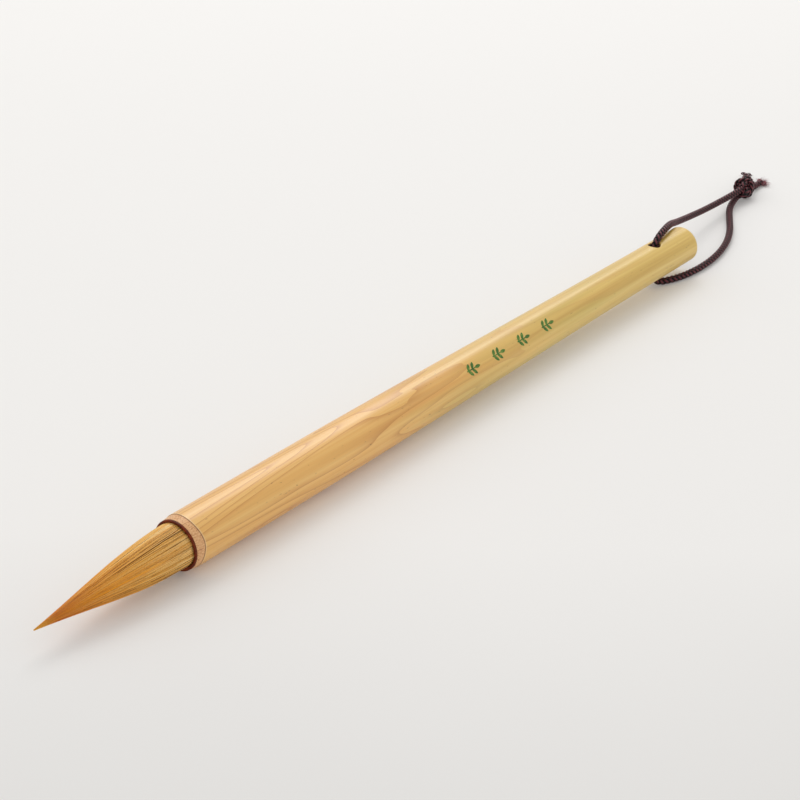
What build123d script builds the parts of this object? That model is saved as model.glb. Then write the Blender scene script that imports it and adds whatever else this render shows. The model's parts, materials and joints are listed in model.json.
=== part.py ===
from build123d import *
import math
import os

# A calligraphy brush at rest on a table, with the cord loop that hangs it from a stand.
# Millimetres.  +X runs from the hair's point to the tail, +Z is up, and the table is z = 0.
# The origin is under the middle of the brush, cord left out.
# Along the brush, places are given as "s": 0 at the mouth of the bamboo, more towards the tail.

# ------------------------------------------------------------------ driving sizes
shaft_length = 200.0  # bamboo, mouth to tail
mouth_diameter = 12.5  # over the bamboo's skin at the head
tail_diameter = 9.7  # over the bamboo's skin at the tail
cap_seat_length = 30.0  # true cylinder behind the mouth, where a cap slides on
natural_bore_diameter = 3.0  # the hollow that the bamboo grew with

band_length = 2.3  # shaved band at the mouth, where the skin is cut away
band_slope_depth = 0.3  # how far the band's front edge lies below the skin

socket_wall = 0.5  # bamboo left round the reamed socket, at the band's front edge
socket_depth = 13.6

lip_thickness = 0.55  # dark lacquered lip on the mouth, along the brush
lip_roundness = 0.16
lip_hair_clearance = 0.12

hair_length = 42.0  # mouth to point
hair_mouth_clearance = 0.1  # hair to the socket's edge
hair_waist = 0.45  # how much thinner the bound root is than the hair at the mouth
hair_point_radius = 0.12
hair_belly = 0.95  # 0 is a straight cone

lining_share = 0.74  # of the whole tuft's radius
lining_reach = 0.93  # of the whole tuft's length
core_share = 0.44
core_reach = 0.86

thread_diameter = 0.4
thread_turns = 5
thread_from_root = 1.2  # last turn to the root's end
resin_thickness = 0.6  # melted over the root's end
glue_pad_thickness = 1.0  # behind the resin
glue_from_mouth = 1.2  # where the glue starts, out of sight
glue_thread_clearance = 0.02

tail_plug_length = 7.0
tail_lacquer_edge = 0.13  # thickness at its edge
tail_lacquer_dome = 0.12  # extra thickness at its middle
tail_lacquer_inset = 0.15  # bare skin edge round the lacquer

hole_from_tail = 14.2  # cross hole's axis to the tail
hole_clearance = 0.3  # all round the cord
hole_flare = 0.8  # worn mouth, wider than the hole by this much all round

cord_diameter = 2.0
cord_floor_clearance = 0.02
cord_under_clearance = 0.3  # bamboo above the cord that passes under it

mark_count = 4
mark_from_tail = 70.0  # nearest mark's middle to the tail
mark_pitch = 10.4
mark_stem_length = 3.4
mark_stem_width = 0.3
mark_leaf_length = 2.1
mark_leaf_width = 0.85
mark_leaf_splay = 48.0  # degrees from the stem
mark_paint_depth = 0.02  # soaked into the skin
mark_paint_height = 0.05  # standing on the skin
mark_turn = 50.0  # degrees from the top of the bamboo, towards -Y

knot_length = 8.4
knot_thickness = 5.3
knot_bearing = 18.0  # degrees from +X, seen from above
fray_length = 3.2
fray_width = 3.2
fray_height = 1.8

# ------------------------------------------------------------------ worked-out sizes
mouth_radius = mouth_diameter / 2
tail_radius = tail_diameter / 2
bore_radius = natural_bore_diameter / 2
cord_radius = cord_diameter / 2
hole_radius = cord_radius + hole_clearance
band_front_radius = mouth_radius - band_slope_depth
socket_radius = band_front_radius - socket_wall
hair_mouth_radius = socket_radius - hair_mouth_clearance
hair_root_radius = hair_mouth_radius - hair_waist
root_end = socket_depth - glue_pad_thickness - resin_thickness
thread_end = root_end - thread_from_root
thread_start = thread_end - thread_turns * thread_diameter
tail_lacquer_thickness = tail_lacquer_edge + tail_lacquer_dome
taper_start = band_length + cap_seat_length
hole_s = shaft_length - hole_from_tail


def skin_radius(s):
    """Radius over the skin: a cylinder up to the taper, then one smooth easing to the tail."""
    share = min(max((s - taper_start) / (shaft_length - taper_start), 0.0), 1.0)
    return mouth_radius - (mouth_radius - tail_radius) * share * share * (3 - 2 * share)


# The brush leans: its mouth touches the table, and its tail lies on the cord.
# The lean solves  run * sin + drop * cos = lift  for the angle.
lift = cord_floor_clearance + cord_diameter + cord_under_clearance
run = hole_s - band_length
drop = mouth_radius - skin_radius(hole_s)
lean = math.asin(lift / math.hypot(run, drop)) - math.atan2(drop, run)
along = Vector(math.cos(lean), 0, math.sin(lean))
mouth_z = mouth_radius * math.cos(lean) - band_length * math.sin(lean)
mouth_x = (hair_length - shaft_length - tail_lacquer_thickness) / 2 * math.cos(lean)

# Sketches on this plane read as the brush's long section: x is s, and y is the radius.
section = Plane(origin=(mouth_x, 0, mouth_z), x_dir=along, z_dir=(0, -1, 0))
brush_axis = Axis(section.origin, along)
hole_x = mouth_x + hole_s * math.cos(lean)
hole_z = mouth_z + hole_s * math.sin(lean)
hole_top = hole_z + skin_radius(hole_s)
hole_bottom = hole_z - skin_radius(hole_s)

# ------------------------------------------------------------------ bamboo
TAPER_STEPS = 7


def skin_line(above=0.0):
    """Points of the tapering skin, set off outwards by "above"."""
    reach = shaft_length - taper_start
    places = [taper_start + reach * k / TAPER_STEPS for k in range(TAPER_STEPS + 1)]
    return [(s, skin_radius(s) + above) for s in places]


with BuildPart() as bamboo_shaft:
    with BuildSketch(section):
        with BuildLine():
            Polyline(
                (shaft_length, tail_radius),
                (shaft_length, bore_radius),
                (socket_depth, bore_radius),
                (socket_depth, socket_radius),
                (0, socket_radius),
                (0, band_front_radius),
                (band_length, mouth_radius),
                (taper_start, mouth_radius),
            )
            Spline(skin_line(), tangents=[(1, 0), (1, 0)])
        make_face()
    revolve(axis=brush_axis)
    # the cord's cross hole, square to the table, with both mouths worn wider
    with BuildSketch(Plane.XZ):
        with BuildLine():
            wide = hole_radius + hole_flare
            Polyline(
                (hole_x, hole_bottom - 1),
                (hole_x + wide + 1, hole_bottom - 1),
                (hole_x + hole_radius, hole_bottom + hole_flare),
                (hole_x + hole_radius, hole_top - hole_flare),
                (hole_x + wide + 1, hole_top + 1),
                (hole_x, hole_top + 1),
                close=True,
            )
        make_face()
    revolve(axis=Axis((hole_x, 0, 0), (0, 0, 1)), mode=Mode.SUBTRACT)

with BuildPart() as mouth_lip:
    with BuildSketch(section):
        lip_inner = hair_mouth_radius + lip_hair_clearance
        with Locations((-lip_thickness / 2, (lip_inner + band_front_radius) / 2)):
            Rectangle(lip_thickness, band_front_radius - lip_inner)
    revolve(axis=brush_axis)
    front_edges = mouth_lip.edges().filter_by(GeomType.CIRCLE).sort_by(Axis.X)[:2]
    fillet(front_edges, lip_roundness)

with BuildPart() as tail_plug:
    with BuildSketch(section):
        with BuildLine():
            Polyline(
                (shaft_length - tail_plug_length, 0),
                (shaft_length, 0),
                (shaft_length, bore_radius),
                (shaft_length - tail_plug_length, bore_radius),
                close=True,
            )
        make_face()
    revolve(axis=brush_axis)

with BuildPart() as tail_lacquer:
    with BuildSketch(section):
        with BuildLine():
            rim = tail_radius - tail_lacquer_inset
            edge = shaft_length + tail_lacquer_edge
            crown = shaft_length + tail_lacquer_thickness
            dome_radius = (rim**2 + tail_lacquer_dome**2) / (2 * tail_lacquer_dome)
            half_angle = math.asin(rim / dome_radius) / 2
            flank_s = crown - dome_radius * (1 - math.cos(half_angle))
            flank = (flank_s, dome_radius * math.sin(half_angle))
            Polyline((crown, 0), (shaft_length, 0), (shaft_length, rim), (edge, rim))
            ThreePointArc((edge, rim), flank, (crown, 0))
        make_face()
    revolve(axis=brush_axis)

# ------------------------------------------------------------------ tuft of hair
HAIR_STEPS = 8


def hair_radius(share):
    """Radius of the whole tuft, at a share of its length from the mouth: a bellied cone."""
    body = hair_mouth_radius - hair_point_radius
    return hair_point_radius + body * (1 - share) * (1 + hair_belly * share * (1 - share))


def hair_edge(radius_share, reach):
    """Outline of a layer of hair outside the mouth, from its point back to the mouth."""
    shares = [1 - k / HAIR_STEPS for k in range(HAIR_STEPS + 1)]
    return [(-hair_length * reach * u, radius_share * hair_radius(u)) for u in shares]


def hair_layer(outer, inner=None):
    """A layer of hair, solid, or hollow where the next layer in fills it."""
    share, reach = outer
    with BuildPart() as layer:
        with BuildSketch(section):
            with BuildLine():
                edge = hair_edge(share, reach)
                Spline(edge)
                Line((edge[0][0], 0), edge[0])
                root = [
                    edge[-1],
                    (thread_start, share * hair_root_radius),
                    (root_end, share * hair_root_radius),
                ]
                if inner is None:
                    Polyline(*root, (root_end, 0), (edge[0][0], 0))
                else:
                    hollow = hair_edge(*inner)
                    Polyline(
                        *root,
                        (root_end, inner[0] * hair_root_radius),
                        (thread_start, inner[0] * hair_root_radius),
                        hollow[-1],
                    )
                    Spline(hollow)
                    Polyline(hollow[0], (hollow[0][0], 0), (edge[0][0], 0))
            make_face()
        revolve(axis=brush_axis)
    return layer


whole = (1.0, 1.0)
lining = (lining_share, lining_reach)
core = (core_share, core_reach)
cover_hair = hair_layer(whole, lining)
lining_hair = hair_layer(lining, core)
core_hair = hair_layer(core)

with BuildPart() as root_thread:
    with BuildSketch(section):
        with BuildLine():
            base = hair_root_radius + thread_diameter / 2
            Polyline(
                (thread_start, base),
                (thread_start, hair_root_radius),
                (thread_end, hair_root_radius),
                (thread_end, base),
            )
            for turn in range(thread_turns):
                start = thread_start + turn * thread_diameter
                middle = start + thread_diameter / 2
                crest = hair_root_radius + thread_diameter
                ThreePointArc((start, base), (middle, crest), (start + thread_diameter, base))
        make_face()
    revolve(axis=brush_axis)

with BuildPart() as root_resin:
    with BuildSketch(section):
        with Locations((root_end + resin_thickness / 2, hair_root_radius / 2)):
            Rectangle(resin_thickness, hair_root_radius)
    revolve(axis=brush_axis)

with BuildPart() as socket_glue:
    with BuildSketch(section):
        with BuildLine():
            groove = hair_root_radius + thread_diameter + glue_thread_clearance
            front_radius = hair_mouth_radius - hair_waist * glue_from_mouth / thread_start
            Polyline(
                (glue_from_mouth, front_radius),
                (thread_start, hair_root_radius),
                (thread_start, groove),
                (thread_end, groove),
                (thread_end, hair_root_radius),
                (root_end + resin_thickness, hair_root_radius),
                (root_end + resin_thickness, 0),
                (socket_depth, 0),
                (socket_depth, socket_radius),
                (glue_from_mouth, socket_radius),
                close=True,
            )
        make_face()
    revolve(axis=brush_axis)

# ------------------------------------------------------------------ painted leaf marks
mark_places = [shaft_length - mark_from_tail - k * mark_pitch for k in range(mark_count)]
turn = math.radians(mark_turn)
mark_normal = section.y_dir * math.cos(turn) + section.z_dir * math.sin(turn)


def mark_plane(s):
    """A plane through the brush's axis that faces the side where the marks are painted."""
    origin = section.origin + along * s
    return Plane(origin=origin, x_dir=along, z_dir=mark_normal)


with BuildSketch() as leaf:
    with BuildLine():
        side = mark_leaf_width / 2
        ThreePointArc((0, 0), (mark_leaf_length / 2, side), (mark_leaf_length, 0))
        ThreePointArc((0, 0), (mark_leaf_length / 2, -side), (mark_leaf_length, 0))
    make_face()

with BuildSketch() as sprig:
    Rectangle(mark_stem_length, mark_stem_width)
    for step in (-0.4, 0.05):
        for angle in (mark_leaf_splay, -mark_leaf_splay):
            add(leaf.sketch.rotate(Axis.Z, angle).moved(Location((step * mark_stem_length, 0))))
    add(leaf.sketch.moved(Location((0.4 * mark_stem_length, 0))))

with BuildPart() as leaf_marks:
    with BuildSketch(section):
        with BuildLine():
            below = skin_line(-mark_paint_depth)
            above = skin_line(mark_paint_height)
            Spline(below, tangents=[(1, 0), (1, 0)])
            Spline(above, tangents=[(1, 0), (1, 0)])
            Line(below[0], above[0])
            Line(below[-1], above[-1])
        make_face()
    revolve(axis=brush_axis)
    with BuildSketch(*[mark_plane(s) for s in mark_places]):
        add(sprig.sketch)
    extrude(amount=mouth_radius + 1, mode=Mode.INTERSECT)

# ------------------------------------------------------------------ hanging cord
# Routes are (ahead of the hole's axis, aside, height); both legs start face to face
# half-way up the hole, and the cord is pushed out of either mouth and bends at once.
cord_low = cord_radius + cord_floor_clearance
cord_over = hole_top + cord_radius
top_leg_route = [
    (0, 0, hole_z),
    (0, 0, hole_top - 2.98),
    (0.03, 0.02, hole_top - 1.28),
    (0.4, 0.25, cord_over - 0.58),
    (1.9, 1.15, cord_over + 0.67),
    (4.6, 2.5, cord_over + 0.87),
    (8.4, 3.9, cord_over + 0.02),
    (13.2, 5.2, cord_over - 1.58),
    (20.0, 6.9, 9.4),
    (31.3, 9.1, 6.9),
    (43.3, 10.7, 4.9),
    (54.5, 11.6, 3.9),
    (61.5, 11.8, 3.65),
    (65.6, 12.0, 3.6),
]
bottom_leg_route = [
    (0, 0, hole_z),
    (0, 0, 5.9),
    (-0.02, 0.02, 4.45),
    (0, 0, 2.6),
    (1.1, -0.85, cord_low),
    (3.8, -2.6, cord_low),
    (9.0, -4.3, cord_low),
    (17.0, -5.0, cord_low),
    (26.0, -4.2, cord_low),
    (35.0, -1.8, cord_low),
    (43.0, 1.9, cord_low),
    (50.0, 6.4, cord_low),
    (56.5, 10.4, cord_low),
    (61.6, 12.2, 1.2),
    (65.4, 12.9, 1.5),
]
long_tail_route = [
    (71.2, 15.0, 2.3),
    (74.2, 16.4, 1.25),
    (78.0, 18.4, cord_low),
    (81.2, 19.5, cord_low),
]
short_tail_route = [
    (71.9, 12.7, 1.7),
    (74.3, 12.9, 1.1),
    (77.0, 13.6, cord_low),
    (79.2, 13.4, cord_low),
]
knot_middle = (68.5, 12.9, 2.75)
ARC_SHARE = 0.45  # of the shorter run beside a corner


def from_hole(points):
    """Places given from the hole's axis, in the brush's frame."""
    return [Vector(hole_x + x, y, z) for x, y, z in points]


def bend_radii(points):
    """The largest radius that the two runs beside each corner allow."""
    radii = []
    for before, corner, after in zip(points, points[1:], points[2:]):
        half_turn = math.radians((corner - before).get_angle(after - corner)) / 2
        shorter = min((corner - before).length, (after - corner).length)
        radii.append(ARC_SHARE * shorter / math.tan(half_turn))
    return radii


def cord_tube(name, route):
    """A round cord along straight runs joined by tangent arcs."""
    points = from_hole(route)
    radii = bend_radii(points)
    with BuildPart() as tube:
        with BuildLine() as path:
            FilletPolyline(*points, radius=radii)
        with BuildSketch(Plane(origin=path.line @ 0, z_dir=path.line % 0)):
            Circle(cord_radius)
        sweep(path=path.wires()[0])
    length = path.wires()[0].length
    exact = math.pi * cord_radius**2 * length
    print(name, "length %.1f" % length, "volume / exact %.4f" % (tube.part.volume / exact))
    print("  radii", ["%.1f" % radius for radius in radii])
    return tube


def frayed_end(route):
    """The last of a cut cord, opened out flat where its strands part."""
    before, end = from_hole(route[-2:])
    outwards = (end - before).normalized()
    sideways = outwards.cross(Vector(0, 0, 1))
    with BuildPart() as fray:
        with BuildSketch(Plane(origin=end, x_dir=sideways, z_dir=outwards)):
            Circle(cord_radius)
        opened = end + outwards * fray_length
        with BuildSketch(Plane(origin=opened, x_dir=sideways, z_dir=outwards)):
            Ellipse(fray_width / 2, fray_height / 2)
        loft()
    return fray


cord_leg_top = cord_tube("cord_leg_top", top_leg_route)
cord_leg_bottom = cord_tube("cord_leg_bottom", bottom_leg_route)
cord_tail_long = cord_tube("cord_tail_long", long_tail_route)
cord_tail_short = cord_tube("cord_tail_short", short_tail_route)
frayed_end_long = frayed_end(long_tail_route)
frayed_end_short = frayed_end(short_tail_route)

with BuildPart() as cord_knot:
    bearing = math.radians(knot_bearing)
    middle = from_hole([knot_middle])[0]
    lengthways = Vector(math.cos(bearing), math.sin(bearing), 0)
    with BuildSketch(Plane(origin=middle, x_dir=lengthways, z_dir=(0, 0, 1))):
        with BuildLine():
            EllipticalCenterArc((0, 0), knot_length / 2, knot_thickness / 2, arc_size=180)
            Line((-knot_length / 2, 0), (knot_length / 2, 0))
        make_face()
    revolve(axis=Axis(middle, lengthways))

# ------------------------------------------------------------------ one file for each piece
pieces = {
    "bamboo_shaft": bamboo_shaft,
    "mouth_lip": mouth_lip,
    "tail_plug": tail_plug,
    "tail_lacquer": tail_lacquer,
    "cover_hair": cover_hair,
    "lining_hair": lining_hair,
    "core_hair": core_hair,
    "root_thread": root_thread,
    "root_resin": root_resin,
    "socket_glue": socket_glue,
    "leaf_marks": leaf_marks,
    "cord_leg_top": cord_leg_top,
    "cord_leg_bottom": cord_leg_bottom,
    "cord_knot": cord_knot,
    "cord_tail_long": cord_tail_long,
    "cord_tail_short": cord_tail_short,
    "frayed_end_long": frayed_end_long,
    "frayed_end_short": frayed_end_short,
}
os.makedirs("parts", exist_ok=True)
for name, piece in pieces.items():
    piece.part.label = name
    export_step(piece.part, f"parts/{name}.step")

print("lean %.3f degrees" % math.degrees(lean))
print("hole axis x %.4f" % hole_x, "middle z %.4f" % hole_z)
print("mouth x %.4f z %.4f" % (mouth_x, mouth_z))
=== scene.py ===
"""A calligraphy brush lying on a table: hair drawn to a point, a bamboo tube, and a knotted cord loop.

Everything is in metres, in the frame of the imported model.  Places along the brush are given as
"s": 0 at the bamboo's mouth, growing towards the tail, and negative along the hair.
"""

import json
import math

import bpy
import numpy as np
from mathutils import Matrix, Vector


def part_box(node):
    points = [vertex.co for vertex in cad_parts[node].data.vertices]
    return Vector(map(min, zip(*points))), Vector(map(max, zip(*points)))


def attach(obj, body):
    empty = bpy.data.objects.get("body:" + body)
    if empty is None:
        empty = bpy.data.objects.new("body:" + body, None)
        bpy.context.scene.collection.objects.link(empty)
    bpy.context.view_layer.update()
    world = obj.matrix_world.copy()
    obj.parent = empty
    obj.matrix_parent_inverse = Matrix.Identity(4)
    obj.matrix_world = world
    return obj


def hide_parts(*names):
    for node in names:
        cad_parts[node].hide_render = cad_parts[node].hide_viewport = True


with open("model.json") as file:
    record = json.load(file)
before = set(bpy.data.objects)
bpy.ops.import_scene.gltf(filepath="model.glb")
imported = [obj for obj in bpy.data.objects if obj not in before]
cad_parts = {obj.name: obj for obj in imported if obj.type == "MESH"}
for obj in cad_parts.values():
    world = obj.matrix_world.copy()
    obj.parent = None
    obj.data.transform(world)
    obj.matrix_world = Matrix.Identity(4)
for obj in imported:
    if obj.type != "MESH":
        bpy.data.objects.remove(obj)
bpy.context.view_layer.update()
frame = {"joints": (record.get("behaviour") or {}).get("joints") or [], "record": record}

bl_info = {
    "name": "Calligraphy brush",
    "version": (1, 0, 0),
    "blender": (4, 5, 0),
    "location": "View3D > Sidebar > Brush",
    "description": "Makes a bamboo calligraphy brush with a braided hanging cord, piece by piece",
    "category": "Add Mesh",
}

MM = 0.001
TURN = 2 * math.pi

# ------------------------------------------------------------------ the frame's own places
CAP_SEAT = next(m for m in frame["record"]["mounts"] if m["name"] == "cap_seat")
SWING = next(j for j in frame["joints"] if j["name"] == "loop_swing")
ALONG = -np.array(CAP_SEAT["axis"], float)
ALONG /= np.linalg.norm(ALONG)
UP = np.array([-ALONG[2], 0.0, ALONG[0]])
SIDE = np.cross(ALONG, UP)
BAND_LENGTH = 2.3 * MM
SEAT_LENGTH = CAP_SEAT["dims"]["length_mm"] * MM
MOUTH = np.array(CAP_SEAT["pos_m"], float) - ALONG * (BAND_LENGTH + SEAT_LENGTH / 2)
HOLE = np.array(SWING["pos_m"], float)


def span(node):
    """Where a node starts and ends, as places along the brush."""
    low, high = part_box(node)
    return (low.x - MOUTH[0]) / ALONG[0], (high.x - MOUTH[0]) / ALONG[0]


def half_width(node):
    """Half of a node's size across the brush."""
    low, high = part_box(node)
    return (high.y - low.y) / 2


SHAFT_LENGTH = span("bamboo_shaft")[1]
SOCKET_DEPTH = span("socket_glue")[1]
PLUG_START = span("tail_plug")[0]
THREAD_START = span("root_thread")[0]
HAIR_POINT, ROOT_END = span("cover_hair")
HAIR_LENGTH = -HAIR_POINT
LIP_START, LIP_END = span("mouth_lip")
HOLE_S = float((HOLE - MOUTH) @ ALONG)
TAPER_START = BAND_LENGTH + SEAT_LENGTH

MOUTH_RADIUS = CAP_SEAT["dims"]["r_mm"] * MM
TAIL_RADIUS = half_width("tail_lacquer") + 0.15 * MM
LIP_RADIUS = half_width("mouth_lip")
SOCKET_RADIUS = half_width("socket_glue")
BORE_RADIUS = half_width("tail_plug")
HAIR_RADIUS = half_width("cover_hair")
ROOT_RADIUS = HAIR_RADIUS - 0.45 * MM
POINT_RADIUS = 0.12 * MM

# ------------------------------------------------------------------ cord routes
# Ahead of the cross hole's axis, aside, and height.  The lower leg and the tails repeat the route of
# the cord's solids; the upper leg leaves its hole in a tighter arch, within 2.1 mm of theirs.
TOP_LEG = [
    (0, 0, HOLE[2]),
    (0, 0, 0.0091),
    (0.00005, 0.00003, 0.0108),
    (0.0009, 0.0001, 0.01225),
    (0.0026, 0.0003, 0.01318),
    (0.0050, 0.0008, 0.01352),
    (0.0086, 0.0018, 0.01342),
    (0.0140, 0.0037, 0.01235),
    (0.0208, 0.0065, 0.0096),
    (0.0313, 0.0091, 0.0069),
    (0.0433, 0.0107, 0.0049),
    (0.0545, 0.0116, 0.0039),
    (0.0615, 0.0118, 0.00365),
    (0.0656, 0.0120, 0.0036),
]
BOTTOM_LEG = [
    (0, 0, HOLE[2]),
    (0, 0, 0.0059),
    (-0.00002, 0.00002, 0.00445),
    (0, 0, 0.0026),
    (0.0011, -0.00085, 0.00102),
    (0.0038, -0.0026, 0.00102),
    (0.0090, -0.0043, 0.00102),
    (0.0170, -0.0050, 0.00102),
    (0.0260, -0.0042, 0.00102),
    (0.0350, -0.0018, 0.00102),
    (0.0430, 0.0019, 0.00102),
    (0.0500, 0.0064, 0.00102),
    (0.0565, 0.0104, 0.00102),
    (0.0616, 0.0122, 0.0012),
    (0.0654, 0.0129, 0.0015),
]
LONG_TAIL = [
    (0.0712, 0.0150, 0.0023),
    (0.0742, 0.0164, 0.00125),
    (0.0780, 0.0184, 0.00102),
    (0.0812, 0.0195, 0.00102),
]
SHORT_TAIL = [
    (0.0719, 0.0127, 0.0017),
    (0.0743, 0.0129, 0.0011),
    (0.0770, 0.0136, 0.00102),
    (0.0792, 0.0134, 0.00102),
]
# from the middle of the tube to the knot, along each leg
KNOT_MIDDLE = np.array([HOLE[0] + 0.0685, 0.0129, 0.00275])
KNOT_SIZE = (0.0084, 0.0053, 0.0053)


# ------------------------------------------------------------------ settings
def colour(red, green, blue):
    """A display colour, 0 to 255, as the linear value that a shader takes."""
    parts = np.array([red, green, blue]) / 255
    linear = np.where(parts <= 0.04045, parts / 12.92, ((parts + 0.055) / 1.055) ** 2.4)
    return (*[float(x) for x in linear], 1.0)


def shade(base, red, green, blue):
    """The linear colour "base" with each channel multiplied by its own factor, held to 1."""
    return (*[float(min(b * f, 1.0)) for b, f in zip(base, (red, green, blue))], 1.0)


def tint_property(label, text, red, green, blue):
    """A colour setting whose default is the display colour given."""
    default = colour(red, green, blue)[:3]
    return bpy.props.FloatVectorProperty(
        name=label, description=text, subtype="COLOR", size=3, min=0, max=1, default=default
    )


class BrushSettings(bpy.types.PropertyGroup):
    """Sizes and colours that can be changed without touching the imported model."""

    cord_diameter: bpy.props.FloatProperty(
        name="Cord diameter", description="Over the braid's yarns", default=0.002, unit="LENGTH"
    )
    stitch_length: bpy.props.FloatProperty(
        name="Stitch", description="Length of one stitch of the braid", default=0.0014, unit="LENGTH"
    )
    hair_count: bpy.props.IntProperty(
        name="Loose hairs", description="Hairs modelled one by one on the tuft", default=1100
    )
    lens: bpy.props.FloatProperty(
        name="Lens", description="Focal length of the camera, in millimetres", default=110.0
    )
    camera_distance: bpy.props.FloatProperty(
        name="Camera distance", description="From the lens to the mouth", default=0.52, unit="LENGTH"
    )
    bamboo_tan: tint_property("Bamboo, head", "Skin of the tube's head half", 242, 188, 104)
    bamboo_olive: tint_property("Bamboo, tail", "Skin of the tube's tail half", 230, 196, 104)
    cut_wood: tint_property("Cut wood", "The shaved band at the mouth", 224, 168, 112)
    hair_gold: tint_property("Hair at the mouth", "Straw gold", 250, 192, 98)
    hair_orange: tint_property("Hair near the point", "Deep orange", 210, 116, 20)
    cord_plum: tint_property("Cord", "The yarns' middle tone", 82, 25, 35)
    lip_brown: tint_property("Lip", "The lacquer's middle tone", 112, 40, 4)
    leaf_green: tint_property("Leaf marks", "The paint's middle tone", 74, 122, 32)
    tail_brown: tint_property("Tail", "The worn lacquer's middle tone", 134, 88, 44)
    table: tint_property("Table", "The pale table top", 229, 228, 226)


# ------------------------------------------------------------------ meshes from arrays
def brush_point(s, up, side):
    """Points at s along the brush's axis, "up" and "side" off it: mouth + s*along + up*U + side*S."""
    s, up, side = np.broadcast_arrays(s, up, side)
    return MOUTH + s[..., None] * ALONG + up[..., None] * UP + side[..., None] * SIDE


def quads_of(rows, columns, wrap=True, start=0):
    """Corner numbers of a grid's faces, row by row; with wrap the last column meets the first."""
    reach = columns if wrap else columns - 1
    i, j = np.meshgrid(np.arange(rows - 1), np.arange(reach), indexing="ij")
    k = (j + 1) % columns
    corners = [i * columns + j, i * columns + k, (i + 1) * columns + k, (i + 1) * columns + j]
    return start + np.stack(corners, -1).reshape(-1, 4)


def pole(ring, centre, flip=False):
    """Triangles that close a ring of corner numbers onto one centre corner."""
    following = np.roll(ring, -1)
    middle = np.full(len(ring), centre)
    order = [ring, middle, following] if flip else [ring, following, middle]
    return np.stack(order, -1)


def make_piece(name, points, faces, material, body, values=None, uv=None, sharp=None):
    """A mesh object from corner points and lists of faces, with one material.

    Its body is the record's name, "values" holds point attributes, "uv" each face
    corner's place in the weave, and edges that turn by more than "sharp" are shaded as corners.
    """
    mesh = bpy.data.meshes.new(name)
    lists = [row for part in faces for row in part.tolist()]
    mesh.from_pydata(np.asarray(points).reshape(-1, 3), [], lists)
    mesh.polygons.foreach_set("use_smooth", np.ones(len(mesh.polygons), bool))
    for key, field in (values or {}).items():
        kind = "FLOAT" if np.ndim(field) == 1 else "FLOAT_VECTOR"
        data = mesh.attributes.new(key, kind, "POINT").data
        data.foreach_set("value" if kind == "FLOAT" else "vector", np.ravel(field).astype(np.float32))
    if uv is not None:
        layer = mesh.uv_layers.new(name="weave")
        layer.data.foreach_set("uv", np.ravel(uv).astype(np.float32))
    if sharp is not None:
        mesh.set_sharp_from_angle(angle=sharp)
    mesh.materials.append(material)
    piece = bpy.data.objects.new(name, mesh)
    bpy.context.scene.collection.objects.link(piece)
    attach(piece, body)
    return piece


def ease(x):
    """0 below 0, 1 above 1, and the cubic 3x^2 - 2x^3 between."""
    x = np.clip(x, 0, 1)
    return x * x * (3 - 2 * x)


def waves(angle, seed, count, first=1, fall=1.0):
    """A smooth random ring: a sum of "count" cosines of whole-number frequency, scaled to about 1."""
    draw = np.random.default_rng(seed)
    total = np.zeros_like(np.asarray(angle, float))
    size = 0.0
    for k in range(first, first + count):
        share = k ** -fall * draw.uniform(0.5, 1.0)
        total = total + share * np.cos(k * angle + draw.uniform(0, TURN))
        size += share * share / 2
    return total / math.sqrt(size)


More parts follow.
